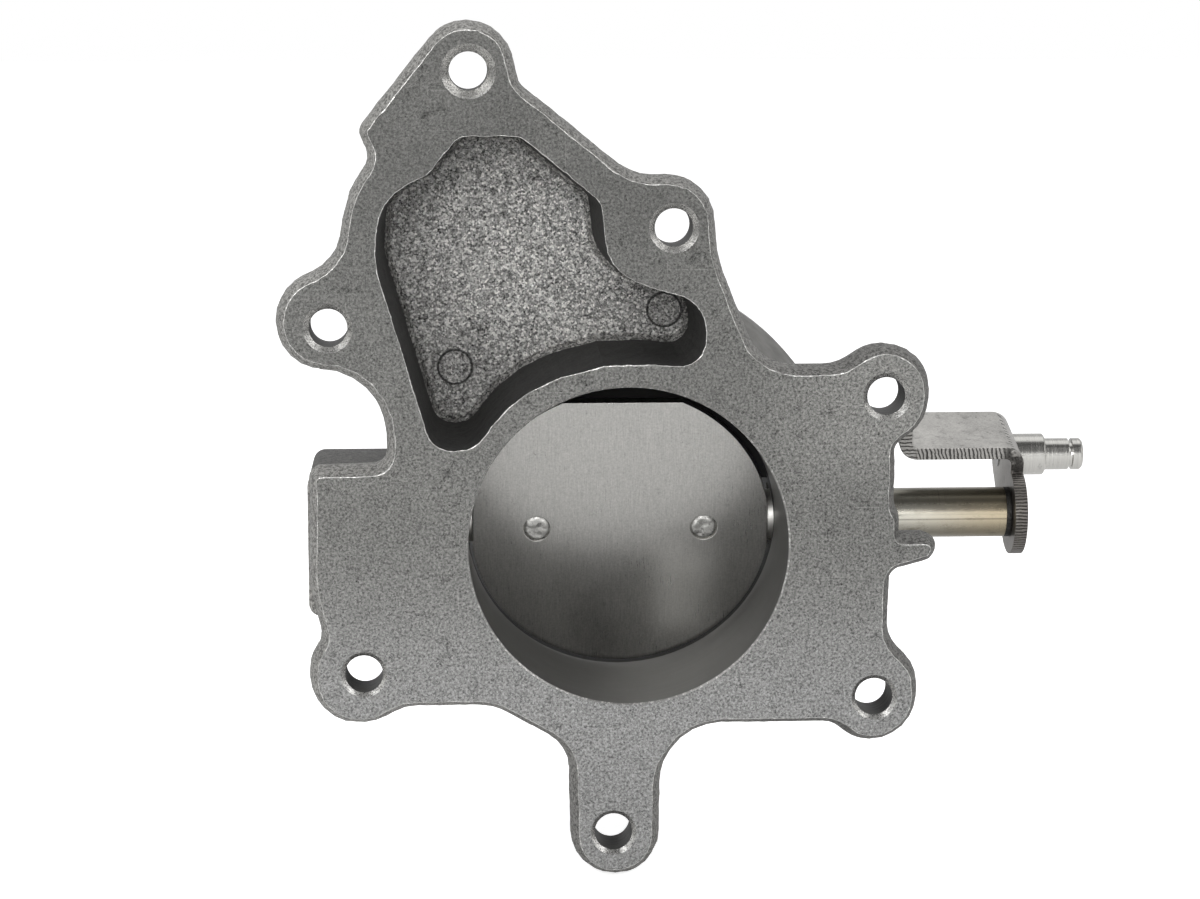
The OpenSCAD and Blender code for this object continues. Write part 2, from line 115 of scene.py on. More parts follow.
class Value:
    """A shader socket that can be used in sums, so that a mask is written as one expression."""

    def __init__(self, shader, socket):
        self.shader = shader
        self.socket = socket

    def math(self, operation, other=None, third=None):
        inputs = [v for v in (self, other, third) if v is not None]
        return self.shader.node("ShaderNodeMath", {"operation": operation}, dict(enumerate(inputs)))

    def __add__(self, other):
        return self.math("ADD", other)

    def __sub__(self, other):
        return self.math("SUBTRACT", other)

    def __mul__(self, other):
        return self.math("MULTIPLY", other)

    def __rsub__(self, other):
        return self.math("MULTIPLY_ADD", -1.0, other)

    __radd__ = __add__
    __rmul__ = __mul__

    def power(self, exponent):
        return self.math("POWER", exponent)

    def absolute(self):
        return self.math("ABSOLUTE")

    def clamped(self):
        return self.shader.node("ShaderNodeClamp", {}, {"Value": self})

    def ramp(self, low, high):
        """0 below low, 1 above high, smooth between them. low may be the larger one."""
        return self.shader.node("ShaderNodeMapRange", {"interpolation_type": "SMOOTHSTEP"},
                                {"Value": self, "From Min": low, "From Max": high})


class Shader:
    """One material: its nodes, the object's coordinates, and the surface itself."""

    def __init__(self, name, **surface):
        self.material = bpy.data.materials.new(name)
        self.material.use_nodes = True
        self.tree = self.material.node_tree
        self.surface = self.tree.nodes["Principled BSDF"]
        for socket, number in surface.items():
            self.surface.inputs[socket.replace("_", " ").title()].default_value = number
        self.place = self.node("ShaderNodeTexCoord", {}, {}, "Object")

    def node(self, kind, settings, inputs, output=0):
        made = self.tree.nodes.new(kind)
        for setting, value in settings.items():
            setattr(made, setting, value)
        for socket, value in inputs.items():
            self.feed(made.inputs[socket], value)
        return Value(self, made.outputs[output])

    def feed(self, socket, value):
        if isinstance(value, Value):
            self.tree.links.new(value.socket, socket)
        elif socket.type == "RGBA" and len(value) == 3:
            socket.default_value = (*value, 1)
        else:
            socket.default_value = value

    def axis(self, name):
        """The place along one axis, in metres."""
        return self.node("ShaderNodeSeparateXYZ", {}, {0: self.place}, name)

    def facing(self, name):
        """How far the surface looks along one axis of the object, from -1 to 1."""
        normal = self.node("ShaderNodeTexCoord", {}, {}, "Normal")
        return self.node("ShaderNodeSeparateXYZ", {}, {0: normal}, name)

    def stretched(self, scale, turn=(0, 0, 0), move=(0, 0, 0)):
        """The place, scaled to cells for each millimetre and direction."""
        per_metre = tuple(1000 * s for s in scale)
        return self.node("ShaderNodeMapping", {}, {"Vector": self.place, "Location": move, "Rotation": turn,
                                                   "Scale": per_metre})

    def noise(self, cell, detail, roughness=0.55, stretch=(1, 1, 1), turn=(0, 0, 0), move=(0, 0, 0)):
        """Soft noise from 0 to 1 whose blotches are about cell millimetres wide."""
        scale = tuple(s / cell for s in stretch)
        return self.node("ShaderNodeTexNoise", {}, {"Vector": self.stretched(scale, turn, move),
                                                    "Scale": 1.0, "Detail": detail, "Roughness": roughness})

    def cells(self, cell, output="Distance", move=(0, 0, 0)):
        """Grains about cell millimetres wide: how far each place is from its grain's middle, or a colour."""
        place = self.stretched((1 / cell,) * 3, move=move)
        return self.node("ShaderNodeTexVoronoi", {}, {"Vector": place, "Scale": 1.0}, output)

    def grains(self, cell, move=(0, 0, 0)):
        """A level from 0 to 1 that changes from grain to grain."""
        return self.node("ShaderNodeSeparateColor", {}, {0: self.cells(cell, "Color", move)}, 0)

    def mix(self, share, first, second):
        """Colour first where share is 0, second where it is 1."""
        return self.node("ShaderNodeMix", {"data_type": "RGBA"}, {0: share, 6: first, 7: second}, 2)

    def tinted(self, level, tint):
        """A level times a tint."""
        return self.mix(level, (0, 0, 0), tint)

    def relief(self, height, depth_mm, strength):
        """Bumps of this height field, which runs from 0 to 1, depth_mm from bottom to top."""
        bump = self.node("ShaderNodeBump", {}, {"Strength": strength, "Distance": depth_mm * MM,
                                                "Height": height}, "Normal")
        self.feed(self.surface.inputs["Normal"], bump)

    def paint(self, colour, roughness=None, metallic=None):
        """Gives the surface what varies over it, and returns the finished material."""
        for socket, value in (("Base Color", colour), ("Roughness", roughness), ("Metallic", metallic)):
            if value is not None:
                self.feed(self.surface.inputs[socket], value)
        return self.material


def away_from_axis(first, second):
    """How far a place is from an axis, given how far it is in two directions across it."""
    return (first.power(2) + second.power(2)).power(0.5)


# Finishes

def machined_iron():
    """The milled flange face: mottled grey with blotches, pits and fine scratches.
    It is darker towards the top and lighter on the right lug."""
    s = Shader("machined_iron", metallic=0.75)
    clouds = s.noise(24, 3, move=(3, 1, 7))
    blotch = s.noise(4.2, 5, 0.68, move=(9, 2, 4))
    speckle = s.noise(0.62, 3, 0.8).ramp(0.34, 0.66)
    grain = s.grains(0.36)
    stain = (blotch.ramp(0.5, 0.7) * clouds.ramp(0.36, 0.58)).clamped()
    pits = s.noise(0.9, 1, 0.5, move=(1, 5, 2)).ramp(0.31, 0.23)
    upright = s.noise(1.0, 1, 0.5, stretch=(3.4, 1, 0.06), turn=(0, 0.35, 0), move=(7, 0, 3)).ramp(0.7, 0.78)
    sloping = s.noise(1.0, 1, 0.5, stretch=(0.05, 1, 3.2), turn=(0, 0.9, 0)).ramp(0.68, 0.76)
    height = s.axis("Z")
    lower = height.ramp(10 * MM, -45 * MM)
    right_lug = s.axis("X").ramp(25 * MM, 60 * MM) * height.ramp(8 * MM, 28 * MM)
    base = 0.1 + 0.05 * height.ramp(100 * MM, 0) + 0.1 * lower + 0.06 * right_lug
    base = base + 0.06 * (clouds - 0.5) + 0.05 * (blotch - 0.5)
    level = base * (0.24 + 0.9 * speckle + 0.6 * grain - 0.35 * stain - 0.4 * pits)
    level = level + 0.06 * (sloping + upright)
    s.relief(speckle * 0.5 + grain * 0.3 + blotch * 0.2 - pits * 0.8, 0.06, 0.5)
    tint = s.mix(lower, (1.0, 0.995, 0.95), (1.0, 1.0, 0.985))
    return s.paint(s.tinted(level.clamped(), tint), (0.44 + 0.14 * speckle + 0.1 * stain).clamped())


def cast_iron_skin():
    """The rough cast skin. The flange's side is lighter than the back, and lightest at its left."""
    s = Shader("cast_iron_skin", metallic=0.5)
    grit = s.cells(0.55)
    lump = s.noise(1.3, 4, 0.7)
    clouds = s.noise(18, 3)
    pores = s.noise(0.7, 2, 0.8, move=(2, 2, 9)).ramp(0.36, 0.62)
    side = s.axis("Y").ramp(13 * MM, 10 * MM)
    x = s.axis("X")
    shade = 0.125 + 0.07 * x.ramp(-20 * MM, -55 * MM) - 0.06 * x.ramp(20 * MM, 45 * MM)
    level = (0.075 + shade * side) * (0.45 + 1.0 * pores) + 0.16 * (lump - 0.5) + 0.05 * (clouds - 0.5)
    s.relief(grit * 0.55 + lump * 0.9, 0.3, 0.8)
    return s.paint(s.tinted(level.clamped(), (1.0, 0.985, 0.94)), (0.62 + 0.2 * (lump - 0.5)).clamped())


def pocket_sand():
    """The sandy bottom of the cored pocket: bright facets, dark pores, and two thin marks of core prints.
    Painted light and shade make it lighter at its centre and darker towards the walls."""
    s = Shader("pocket_sand", metallic=0.6)
    grit = s.noise(1.1, 3, 0.8)
    coarse = s.grains(0.5)
    fine = s.grains(0.32, move=(5, 1, 3))
    lump = s.noise(6, 3, 0.6, move=(4, 0, 1))
    x, z = s.axis("X"), s.axis("Z")
    level = 0.06 + 0.6 * coarse.power(2.2) + 0.38 * fine.power(1.6)
    level = level + 0.4 * (grit - 0.5) + 0.16 * (lump - 0.5)
    # painted light and shade: lighter at the floor's centre, darker towards the walls
    lit_centre_painted = away_from_axis(x - POCKET_MIDDLE[0], z - POCKET_MIDDLE[1]).ramp(36 * MM, 10 * MM)
    level = level * (0.78 + 0.34 * lit_centre_painted)
    for ring_x, ring_z in CORE_PRINTS:
        away = away_from_axis(x - ring_x, z - ring_z)
        level = level * (1 - 0.85 * (away - PRINT_R).absolute().ramp(0.42 * MM, 0.16 * MM))
    s.relief(grit + coarse * 0.3, 0.5, 1.0)
    return s.paint(s.tinted(level.clamped(), (1.0, 0.985, 0.95)), (0.5 + 0.3 * (fine - 0.5)).clamped())


def pocket_wall():
    """The cored walls of the pocket: the floor's iron, painted near black as shade."""
    s = Shader("pocket_wall", metallic=0.3)
    grit = s.noise(0.9, 3, 0.7)
    s.relief(grit, 0.3, 0.8)
    return s.paint(s.tinted((0.045 + 0.09 * (grit - 0.5)).clamped(), (1.0, 0.985, 0.95)), 0.7)


def bored_iron():
    """The bored gas passage: dark grey with faint turning lines, and painted black and dull behind the plate
    as shade.
    """
    s = Shader("bored_iron", metallic=0.8)
    lines = s.noise(0.6, 2, 0.6, stretch=(0.02, 1.6, 0.02))
    clouds = s.noise(9, 4)
    along_gas = s.axis("Y") + s.axis("Z") * math.tan(REST_TURN)
    # painted shade: the passage behind the plate and the gap under its lower edge are painted black as if
    # unlit
    shade_behind_plate = along_gas.ramp(SHAFT_Y - 9.7 * MM, SHAFT_Y - 8.9 * MM)
    level = (0.115 + 0.05 * (clouds - 0.5) + 0.05 * (lines - 0.5)) * (1 - 0.92 * shade_behind_plate)
    s.relief(lines, 0.02, 0.4)
    rough = 0.42 + 0.15 * (clouds - 0.5) + 0.4 * shade_behind_plate
    return s.paint(s.tinted(level.clamped(), (1.0, 0.99, 0.95)), rough.clamped(), 0.8 - 0.7 * shade_behind_plate)


def drilled_iron():
    """The bolt holes: turning lines and a trace of rust."""
    s = Shader("drilled_iron", metallic=0.4)
    lines = s.noise(0.7, 2, 0.7, stretch=(0.1, 2.0, 0.1))
    rust = s.noise(3.2, 3, 0.6, move=(6, 3, 0)).ramp(0.62, 0.8)
    level = 0.06 + 0.2 * (lines - 0.5)
    s.relief(lines, 0.06, 0.7)
    plain = s.tinted(level.clamped(), (1.0, 0.985, 0.95))
    return s.paint(s.mix(rust * 0.5, plain, (0.16, 0.09, 0.045)), (0.6 + 0.2 * rust).clamped())


def turned_chamfer():
    """The cut chamfers of the bolt holes: flecked, with turning lines, and a painted highlight that is
    brightest at their lower corners.
    """
    s = Shader("turned_chamfer", metallic=0.8)
    lines = s.noise(0.7, 2, 0.7, stretch=(0.6, 1.6, 0.6))
    flecks = s.grains(0.34)
    # painted highlight: the sides that face up and sideways, at the holes' lower corners, are painted
    # brighter as if they caught the lamps
    bright = s.facing("Z").ramp(0.05, 0.4) * (0.3 + 0.7 * s.facing("X").absolute().ramp(0.1, 0.38))
    level = (0.25 + 0.42 * bright) * (1 + 0.8 * (lines - 0.5) + 0.7 * (flecks - 0.5))
    s.relief(lines + flecks * 0.3, 0.03, 0.7)
    return s.paint(s.tinted(level.clamped(), (1.0, 0.99, 0.96)), (0.3 + 0.15 * (flecks - 0.5)).clamped())


def turned_rim():
    """The turned clamp rim at the outlet."""
    s = Shader("turned_rim", metallic=0.8)
    lines = s.noise(0.6, 3, 0.6, stretch=(0.1, 2.2, 0.1))
    clouds = s.noise(7, 4, 0.6)
    level = 0.24 + 0.16 * (lines - 0.5) + 0.12 * (clouds - 0.5)
    s.relief(lines, 0.03, 0.5)
    return s.paint(s.tinted(level.clamped(), (1.0, 0.99, 0.955)), (0.4 + 0.2 * (clouds - 0.5)).clamped())


def worn_edge():
    """The burnished line along the cut edges."""
    s = Shader("worn_edge", metallic=0.9)
    broken = s.noise(0.8, 3, 0.75).ramp(0.48, 0.66)
    level = 0.36 + 0.5 * broken
    return s.paint(s.tinted(level.clamped(), (1.0, 0.99, 0.96)), 0.44 - 0.14 * broken)


def plate_steel():
    """The butterfly plate: sheet steel with fine upright brushing, and a soft painted highlight at the lower
    right.
    """
    s = Shader("plate_steel", metallic=1.0)
    brushing = s.noise(1.0, 3, 0.7, stretch=(5.5, 1, 0.07))
    clouds = s.noise(14, 3)
    fine = s.noise(0.5, 2, 0.8)
    stains = s.noise(2.6, 4, 0.7, stretch=(1, 1, 0.6), move=(6, 1, 8)).ramp(0.62, 0.78)
    specks = s.noise(0.8, 2, 0.6, move=(3, 3, 3)).ramp(0.28, 0.2)
    x, z = s.axis("X"), s.axis("Z")
    # painted highlight: a soft lighter patch right of the plate's centre, low down
    painted_soft_highlight = x.ramp(4 * MM, 15 * MM) * x.ramp(30 * MM, 19 * MM)
    painted_soft_highlight = painted_soft_highlight * z.ramp(-2 * MM, -14 * MM) * z.ramp(-34 * MM, -24 * MM)
    level = 0.44 + 0.3 * (brushing - 0.5) + 0.3 * (fine - 0.5) + 0.06 * (clouds - 0.5)
    level = level - 0.2 * specks - 0.1 * stains + 0.34 * painted_soft_highlight
    s.relief(brushing, 0.012, 0.5)
    return s.paint(s.tinted(level.clamped(), (1.0, 0.985, 0.945)),
                   (0.3 + 0.12 * (brushing - 0.5) + 0.1 * (clouds - 0.5)).clamped())


def peened_steel():
    """Hammered rivet ends."""
    s = Shader("peened_steel", metallic=1.0)
    grain = s.noise(0.4, 3, 0.7)
    smudge = s.noise(2.2, 3, 0.7, move=(4, 4, 1)).ramp(0.5, 0.66)
    s.relief(grain, 0.08, 0.6)
    return s.paint(s.tinted((0.58 + 0.4 * (grain - 0.5) - 0.34 * smudge).clamped(), (1.0, 0.99, 0.95)), 0.45)


def shaft_steel():
    """The polished shaft: olive brown from heat towards the lever, with turning lines and smudges. It is
    painted dark along its top and bottom and in a thin line under its axis as reflection and shade, and
    painted bright beside the plate as a highlight."""
    s = Shader("shaft_steel", metallic=1.0)
    lines = s.noise(0.5, 2, 0.7, stretch=(1.6, 0.03, 0.03))
    smudge = s.noise(2.4, 4, 0.7, stretch=(0.5, 1, 1))
    x, z = s.axis("X"), s.axis("Z")
    base = s.mix(x.ramp(66 * MM, 97 * MM), (0.66, 0.64, 0.57), (0.56, 0.48, 0.34))
    marks = (lines.ramp(0.42, 0.2) * 0.6 + smudge.ramp(0.52, 0.72) * 0.55).clamped()
    # painted highlight: the shaft is painted bright and glossy where it shows beside the plate's edges
    painted_glint_beside_plate = x.absolute().ramp(40 * MM, 39 * MM)
    steel = s.mix(painted_glint_beside_plate, s.mix(marks, base, (0.22, 0.195, 0.14)), (0.9, 0.89, 0.85))
    # painted reflection and shade: dark bands along the top and bottom, and a thin dark line just under the
    # axis
    painted_dark_line = (z + 0.7 * MM).absolute().ramp(0.3 * MM, 0.1 * MM)
    painted_dark_bands = z.ramp(1.8 * MM, 3.8 * MM) * 0.8 + z.ramp(0.2 * MM, -4.5 * MM) * 0.7 + painted_dark_line * 0.4
    painted_dark_bands = painted_dark_bands.clamped() * (1 - painted_glint_beside_plate)
    s.relief(lines, 0.01, 0.5)
    rough = 0.2 + 0.2 * (smudge - 0.5) + 0.15 * painted_dark_bands + 0.25 * painted_glint_beside_plate
    return s.paint(s.mix(painted_dark_bands, steel, (0.06, 0.056, 0.042)), rough.clamped())


def heat_tint_and_shade(shader, level):
    """The level, darker and browner round the weld on the lever's eye: heat tint, and painted shade that
    stands for the dark reflection on the arm's face.
    """
    x, y, z = (shader.axis(name) for name in "XYZ")
    away = away_from_axis(y - SHAFT_Y, z)
    # heat tint round the weld, made darker still as painted shade
    tint_and_shade = away.ramp(21 * MM, 9 * MM) * x.ramp(ARM_START - 3 * MM, ARM_START)
    return shader.mix(tint_and_shade, shader.tinted(level.clamped(), (1.0, 0.975, 0.93)),
                      shader.tinted((level * 0.42).clamped(), (1.0, 0.93, 0.86)))


def lever_steel():
    """Satin sheet steel of the lever."""
    s = Shader("lever_steel", metallic=1.0)
    grain = s.noise(0.5, 3, 0.75)
    marks = s.noise(1.0, 2, 0.6, stretch=(0.25, 2.5, 2.5), turn=(0, 0.3, 0.2)).ramp(0.62, 0.76)
    specks = s.noise(0.9, 2, 0.6, move=(3, 3, 3)).ramp(0.3, 0.22)
    clouds = s.noise(8, 3)
    smear = s.noise(2.2, 4, 0.7, move=(5, 2, 6)).ramp(0.5, 0.72)
    level = 0.35 + 0.4 * (grain - 0.5) + 0.3 * (clouds - 0.5) + 0.14 * marks - 0.2 * specks - 0.13 * smear
    s.relief(grain, 0.03, 0.6)
    return s.paint(heat_tint_and_shade(s, level), (0.38 + 0.15 * (grain - 0.5)).clamped())


def sheared_steel():
    """The lever's sheared edges, scored across the sheet: along X on the arm, upright on the web and level
    on the finger."""
    s = Shader("sheared_steel", metallic=1.0)
    x, y, z = (s.axis(name) for name in "XYZ")
    drift = s.noise(3.0, 2, 0.6)
    fine = s.noise(0.4, 2, 0.7)
    per_score = 2 * math.pi / (0.97 * MM)
    web = (x * per_score + 0.3 * per_score * z + 9 * drift).math("SINE").ramp(-0.95, -0.1)
    finger = (z * per_score + 9 * drift).math("SINE").ramp(-0.95, -0.1)
    arm = (z.math("ARCTAN2", y - SHAFT_Y) * 80 + 7 * drift).math("SINE").ramp(-0.9, 0.3)
    on_arm = x.ramp(ARM_START - 2.5 * MM, ARM_START - 0.5 * MM)
    on_finger = x.ramp(75 * MM, 73.5 * MM)
    score = web + on_arm * (arm - web) + on_finger * (finger - web)
    level = 0.1 + 0.3 * score + 0.3 * (fine - 0.5)
    s.relief(score + 0.3 * fine, 0.22, 0.9)
    return s.paint(heat_tint_and_shade(s, level), 0.4)


def pin_steel():
    """The turned pin: bright, with turning lines and nicks; painted shade darkens it along its top and at
    its inner end.
    """
    s = Shader("pin_steel", metallic=1.0)
    lines = s.noise(0.4, 2, 0.7, stretch=(1.8, 0.04, 0.04))
    s.relief(lines, 0.01, 0.5)
    nicks = s.noise(1.1, 3, 0.7, move=(2, 7, 1)).ramp(0.6, 0.7)
    # painted shade: darker at the inner end by the lever, and along the top
    painted_shade_inner_end = s.axis("X").ramp(98.9 * MM, 98.4 * MM)
    top = s.axis("Z").ramp(PIN_Z + 0.6 * MM, PIN_Z + 2.6 * MM)
    level = (0.56 + 0.34 * (lines - 0.5) - 0.16 * nicks) * (1 - 0.7 * painted_shade_inner_end) * (1 - 0.4 * top)
    return s.paint(s.tinted(level.clamped(), (1.0, 0.985, 0.94)), (0.24 + 0.2 * (lines - 0.5)).clamped())


def plain_steel(name, level, tint=(1.0, 0.98, 0.94), rough=0.4):
    """Steel of the small pieces inside the bosses."""
    s = Shader(name, metallic=1.0, roughness=rough)
    grain = s.noise(0.6, 3, 0.7)
    return s.paint(s.tinted((level + 0.15 * (grain - 0.5)).clamped(), tint))


# Meshes

def deselect():
    if bpy.context.mode != "OBJECT":
        bpy.ops.object.mode_set(mode="OBJECT")
    bpy.ops.object.select_all(action="DESELECT")


def take_up(piece):
    """Makes this the one selected object."""
    deselect()
    piece.select_set(True)
    bpy.context.view_layer.objects.active = piece


def merged_copy(node, name):
    """A copy of a CAD node's mesh whose loose triangles are joined to flat faces. It stands for the node."""
    take_up(frame["nodes"][node])
    bpy.ops.object.duplicate()
    piece = bpy.context.active_object
    piece.name = piece.data.name = name
    piece.parent = None
    piece.data.materials.clear()
    bpy.ops.mesh.customdata_custom_splitnormals_clear()
    bpy.ops.object.mode_set(mode="EDIT")
    bpy.ops.mesh.select_all(action="SELECT")
    bpy.ops.mesh.remove_doubles(threshold=0.002 * MM)
    bpy.ops.mesh.dissolve_limited(angle_limit=math.radians(0.2))
    bpy.ops.mesh.select_all(action="DESELECT")
    bpy.ops.object.mode_set(mode="OBJECT")
    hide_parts(node)
    return piece


def corners(piece):
    """The places of the corners."""
    flat = np.empty(3 * len(piece.data.vertices))
    piece.data.vertices.foreach_get("co", flat)
    return flat.reshape(-1, 3)


def face_facts(piece):
    """Centres and normals of the faces."""
    faces = piece.data.polygons
    centre, normal = np.empty(3 * len(faces)), np.empty(3 * len(faces))
    faces.foreach_get("center", centre)
    faces.foreach_get("normal", normal)
    return centre.reshape(-1, 3), normal.reshape(-1, 3)


def finish_edges(piece, width_mm):
    """Breaks the sharp edges, and shades what is round as round."""
    take_up(piece)
    bevel = piece.modifiers.new("broken edges", "BEVEL")
    bevel.width = width_mm * MM
    bevel.segments = 2
    bevel.limit_method = "ANGLE"
    bevel.angle_limit = SHARP
    bpy.ops.object.modifier_apply(modifier=bevel.name)
    shade(piece, SHARP)


def shade(piece, angle):
    """Shades as round what turns by less than this angle. Large flat faces keep their own normal."""
    take_up(piece)
    bpy.ops.object.shade_smooth_by_angle(angle=angle)
    weighted = piece.modifiers.new("flat faces stay flat", "WEIGHTED_NORMAL")
    weighted.keep_sharp = True
    bpy.ops.object.modifier_apply(modifier=weighted.name)


def settle(piece, body, slot, *materials):
    """Gives a finished piece its materials and its body. The slot is not used."""
    for material in materials:
        piece.data.materials.append(material)
    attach(piece, body)


# The pieces

def whole_faces(piece, chosen):
    """Which faces have all their corners among these."""
    faces = piece.data.polygons
    around = np.empty(len(piece.data.loops), np.int32)
    piece.data.loops.foreach_get("vertex_index", around)
    first = np.empty(len(faces), np.int32)
    faces.foreach_get("loop_start", first)
    return np.logical_and.reduceat(chosen[around], first)


def near_holes(points, reach):
    """Which points lie within reach of a bolt hole's axis."""
    hits = np.zeros(len(points), bool)
    for x, z, *_ in HOLES:
        hits |= np.hypot(points[:, 0] - x * MM, points[:, 2] - z * MM) < reach
    return hits


def open_chamfers(piece):
    """Widens the chamfers of the bolt holes to the width that is seen. The flange face is open meanwhile."""
    slack = 0.03 * MM
    points = corners(piece)
    for x, z, solid, seen in HOLES:
        axis = np.array((x * MM, 0, z * MM))
        away = np.hypot(points[:, 0] - axis[0], points[:, 2] - axis[2])
        on_cone = np.abs(away - HOLE_R + points[:, 1] - solid * MM) < slack
        on_cone &= (away > HOLE_R - slack) & (away < CHAMFER_END) & (points[:, 1] > -IN_PLANE)
        for v in np.flatnonzero(on_cone):
            grown = HOLE_R + (away[v] - HOLE_R) * seen / solid
            outward = (points[v] - axis) * (1, 0, 1) / away[v]
            piece.data.vertices[v].co = axis + outward * grown + (0, points[v][1] * seen / solid, 0)


def nothing_selected(piece, kind):
    """Goes to edit mode for faces or for edges, with none of them selected."""
    take_up(piece)
    bpy.ops.object.mode_set(mode="EDIT")
    bpy.ops.mesh.select_mode(type=kind)
    bpy.ops.mesh.select_all(action="DESELECT")


def select_faces(piece, wanted):
    """Goes to edit mode with only these faces selected."""
    nothing_selected(piece, "FACE")
    bpy.ops.object.mode_set(mode="OBJECT")
    piece.data.polygons.foreach_set("select", np.asarray(wanted, bool))
    bpy.ops.object.mode_set(mode="EDIT")


def slice_selected(low, high, step):
    """Cuts the selected faces by planes along X, Y and Z, step apart, so that they can be made uneven."""
    bpy.ops.mesh.hide(unselected=True)
    for axis in range(3):
        normal = [float(k == axis) for k in range(3)]
        for k in range(1, int((high[axis] - low[axis]) / step[axis])):
            place = [0.0, 0.0, 0.0]
            place[axis] = low[axis] + k * step[axis]
            bpy.ops.mesh.select_all(action="SELECT")
            bpy.ops.mesh.bisect(plane_co=place, plane_no=normal)
    bpy.ops.mesh.reveal(select=False)
    bpy.ops.object.mode_set(mode="OBJECT")


def flange_front(piece):
    """The faces of the milled flange face."""
    centre, normal = face_facts(piece)
    return (np.abs(centre[:, 1]) < IN_PLANE) & (normal[:, 1] < -0.9)


def pocket_faces(piece):
    """Walls and floor of the pocket: all that joins its floor while the flange face is open."""
    centre, normal = face_facts(piece)
    on_floor = (np.abs(centre[:, 1] - POCKET_DEPTH) < NEAR_PLANE) & (centre[:, 2] > POCKET_LOW[2])
    select_faces(piece, on_floor & (normal[:, 1] < -0.9))
    bpy.ops.mesh.select_linked()
    bpy.ops.object.mode_set(mode="OBJECT")
    found = np.empty(len(piece.data.polygons), bool)
    piece.data.polygons.foreach_get("select", found)
    return found


def band_faces(piece, pocket):
    """The cast side of the flange, all the way round it."""
    centre, normal = face_facts(piece)
    side = (centre[:, 1] < FLANGE_T + 0.1 * MM) & (np.abs(normal[:, 1]) < 0.8)
    outside_bore = np.hypot(centre[:, 0], centre[:, 2]) > BORE_R + 2 * MM
    return side & outside_bore & ~pocket & ~near_holes(centre, CHAMFER_END + 0.2 * MM)


def roughen(piece, faces, grain_mm, height_mm):
    """Makes these faces uneven by height_mm in all. What lies on the flange's face or back stays there."""
    touched = {v for f in np.flatnonzero(faces) for v in piece.data.polygons[f].vertices}
    depth = corners(piece)[:, 1]
    in_front = [v for v in touched if abs(depth[v]) < IN_PLANE]
    group = piece.vertex_groups.new(name="rough")
    group.add([v for v in touched if abs(depth[v] - FLANGE_T) > NEAR_PLANE], 1.0, "REPLACE")
    texture = bpy.data.textures.new("casting", "CLOUDS")
    texture.noise_scale = grain_mm * MM
    texture.noise_depth = 2
    take_up(piece)
    uneven = piece.modifiers.new("uneven", "DISPLACE")
    uneven.texture = texture
    uneven.vertex_group = group.name
    uneven.texture_coords = "LOCAL"
    uneven.mid_level = 0.5
    uneven.strength = height_mm * MM
    bpy.ops.object.modifier_apply(modifier=uneven.name)
    piece.vertex_groups.clear()
    for v in in_front:
        piece.data.vertices[v].co.y = 0


def rim_of_face(piece):
    """The open rims of the outline and of the pocket's mouth: the wall's outward direction at each corner.
    With it come the faces on each edge."""
    points = corners(piece)
    normal = face_facts(piece)[1]
    free = (np.abs(points[:, 1]) < IN_PLANE) & (np.hypot(points[:, 0], points[:, 2]) > BORE_R + 1.5 * MM)
    free &= ~near_holes(points, CHAMFER_END)
    sides = {}
    for face in piece.data.polygons:
        for key in face.edge_keys:
            sides.setdefault(key, []).append(face.index)
    outward = {}
    for (a, b), faces in sides.items():
        if len(faces) == 1 and free[a] and free[b]:
            flat = Vector(normal[faces[0]] * (1, 0, 1)).normalized()
            for v in (a, b):
                outward[v] = outward.get(v, Vector()) + flat
    return {v: direction.normalized() for v, direction in outward.items()}, sides


def spot(vertex):
    """A corner's place as a key, because extruding numbers the corners anew."""
    return tuple(round(c, 7) for c in vertex.co)


def roll_edge(piece, depth):
    """Turns the sharp rims of the open flange face into a narrow worn edge that varies in width."""
    mesh = piece.data
    rim, sides = rim_of_face(piece)
    starts = {}
    for v, outward in rim.items():
        start = mesh.vertices[v].co.copy()
        wide = depth * (0.75 + 0.9 * noise.noise(start / (3.5 * MM)) + 0.4 * noise.noise(start / (1.1 * MM)))
        wide = max(wide, 0.3 * depth)
        mesh.vertices[v].co.y = wide
        starts[spot(mesh.vertices[v])] = (start, outward, wide)
    nothing_selected(piece, "EDGE")
    bpy.ops.object.mode_set(mode="OBJECT")
    for edge in mesh.edges:
        a, b = edge.vertices
        edge.select = a in rim and b in rim and len(sides[tuple(sorted((a, b)))]) == 1
    # two steps round the corner: how far inwards, and how far behind the flange face, as shares of the width
    for inward, behind in ((0.3, 0.28), (1.0, 0.0)):
        bpy.ops.object.mode_set(mode="EDIT")
        bpy.ops.mesh.extrude_edges_move()
        bpy.ops.object.mode_set(mode="OBJECT")
        moved = {}
        for vertex in mesh.vertices:
            if vertex.select:
                start, outward, wide = starts[spot(vertex)]
                vertex.co = start - outward * wide * inward + Vector((0, wide * behind, 0))
                moved[spot(vertex)] = (start, outward, wide)
        starts = moved


def close_face(piece):
    """Fills the flange face between its rims."""
    nothing_selected(piece, "EDGE")
    bpy.ops.mesh.select_non_manifold(use_wire=False, use_multi_face=False, use_non_contiguous=False,
                                     use_verts=False)
    bpy.ops.mesh.fill(use_beauty=True)
    bpy.ops.mesh.select_all(action="SELECT")
    bpy.ops.mesh.normals_make_consistent(inside=False)
    bpy.ops.object.mode_set(mode="OBJECT")


# the housing's finishes in the order of its material slots; the filled flange face takes the first
HOUSING_FINISHES = (machined_iron, cast_iron_skin, bored_iron, drilled_iron, turned_chamfer, worn_edge,
                    pocket_sand, pocket_wall, turned_rim)
SKIN, BORED, DRILLED, TURNED, WORN, SAND, SHADED_WALL, RIM = range(1, len(HOUSING_FINISHES))


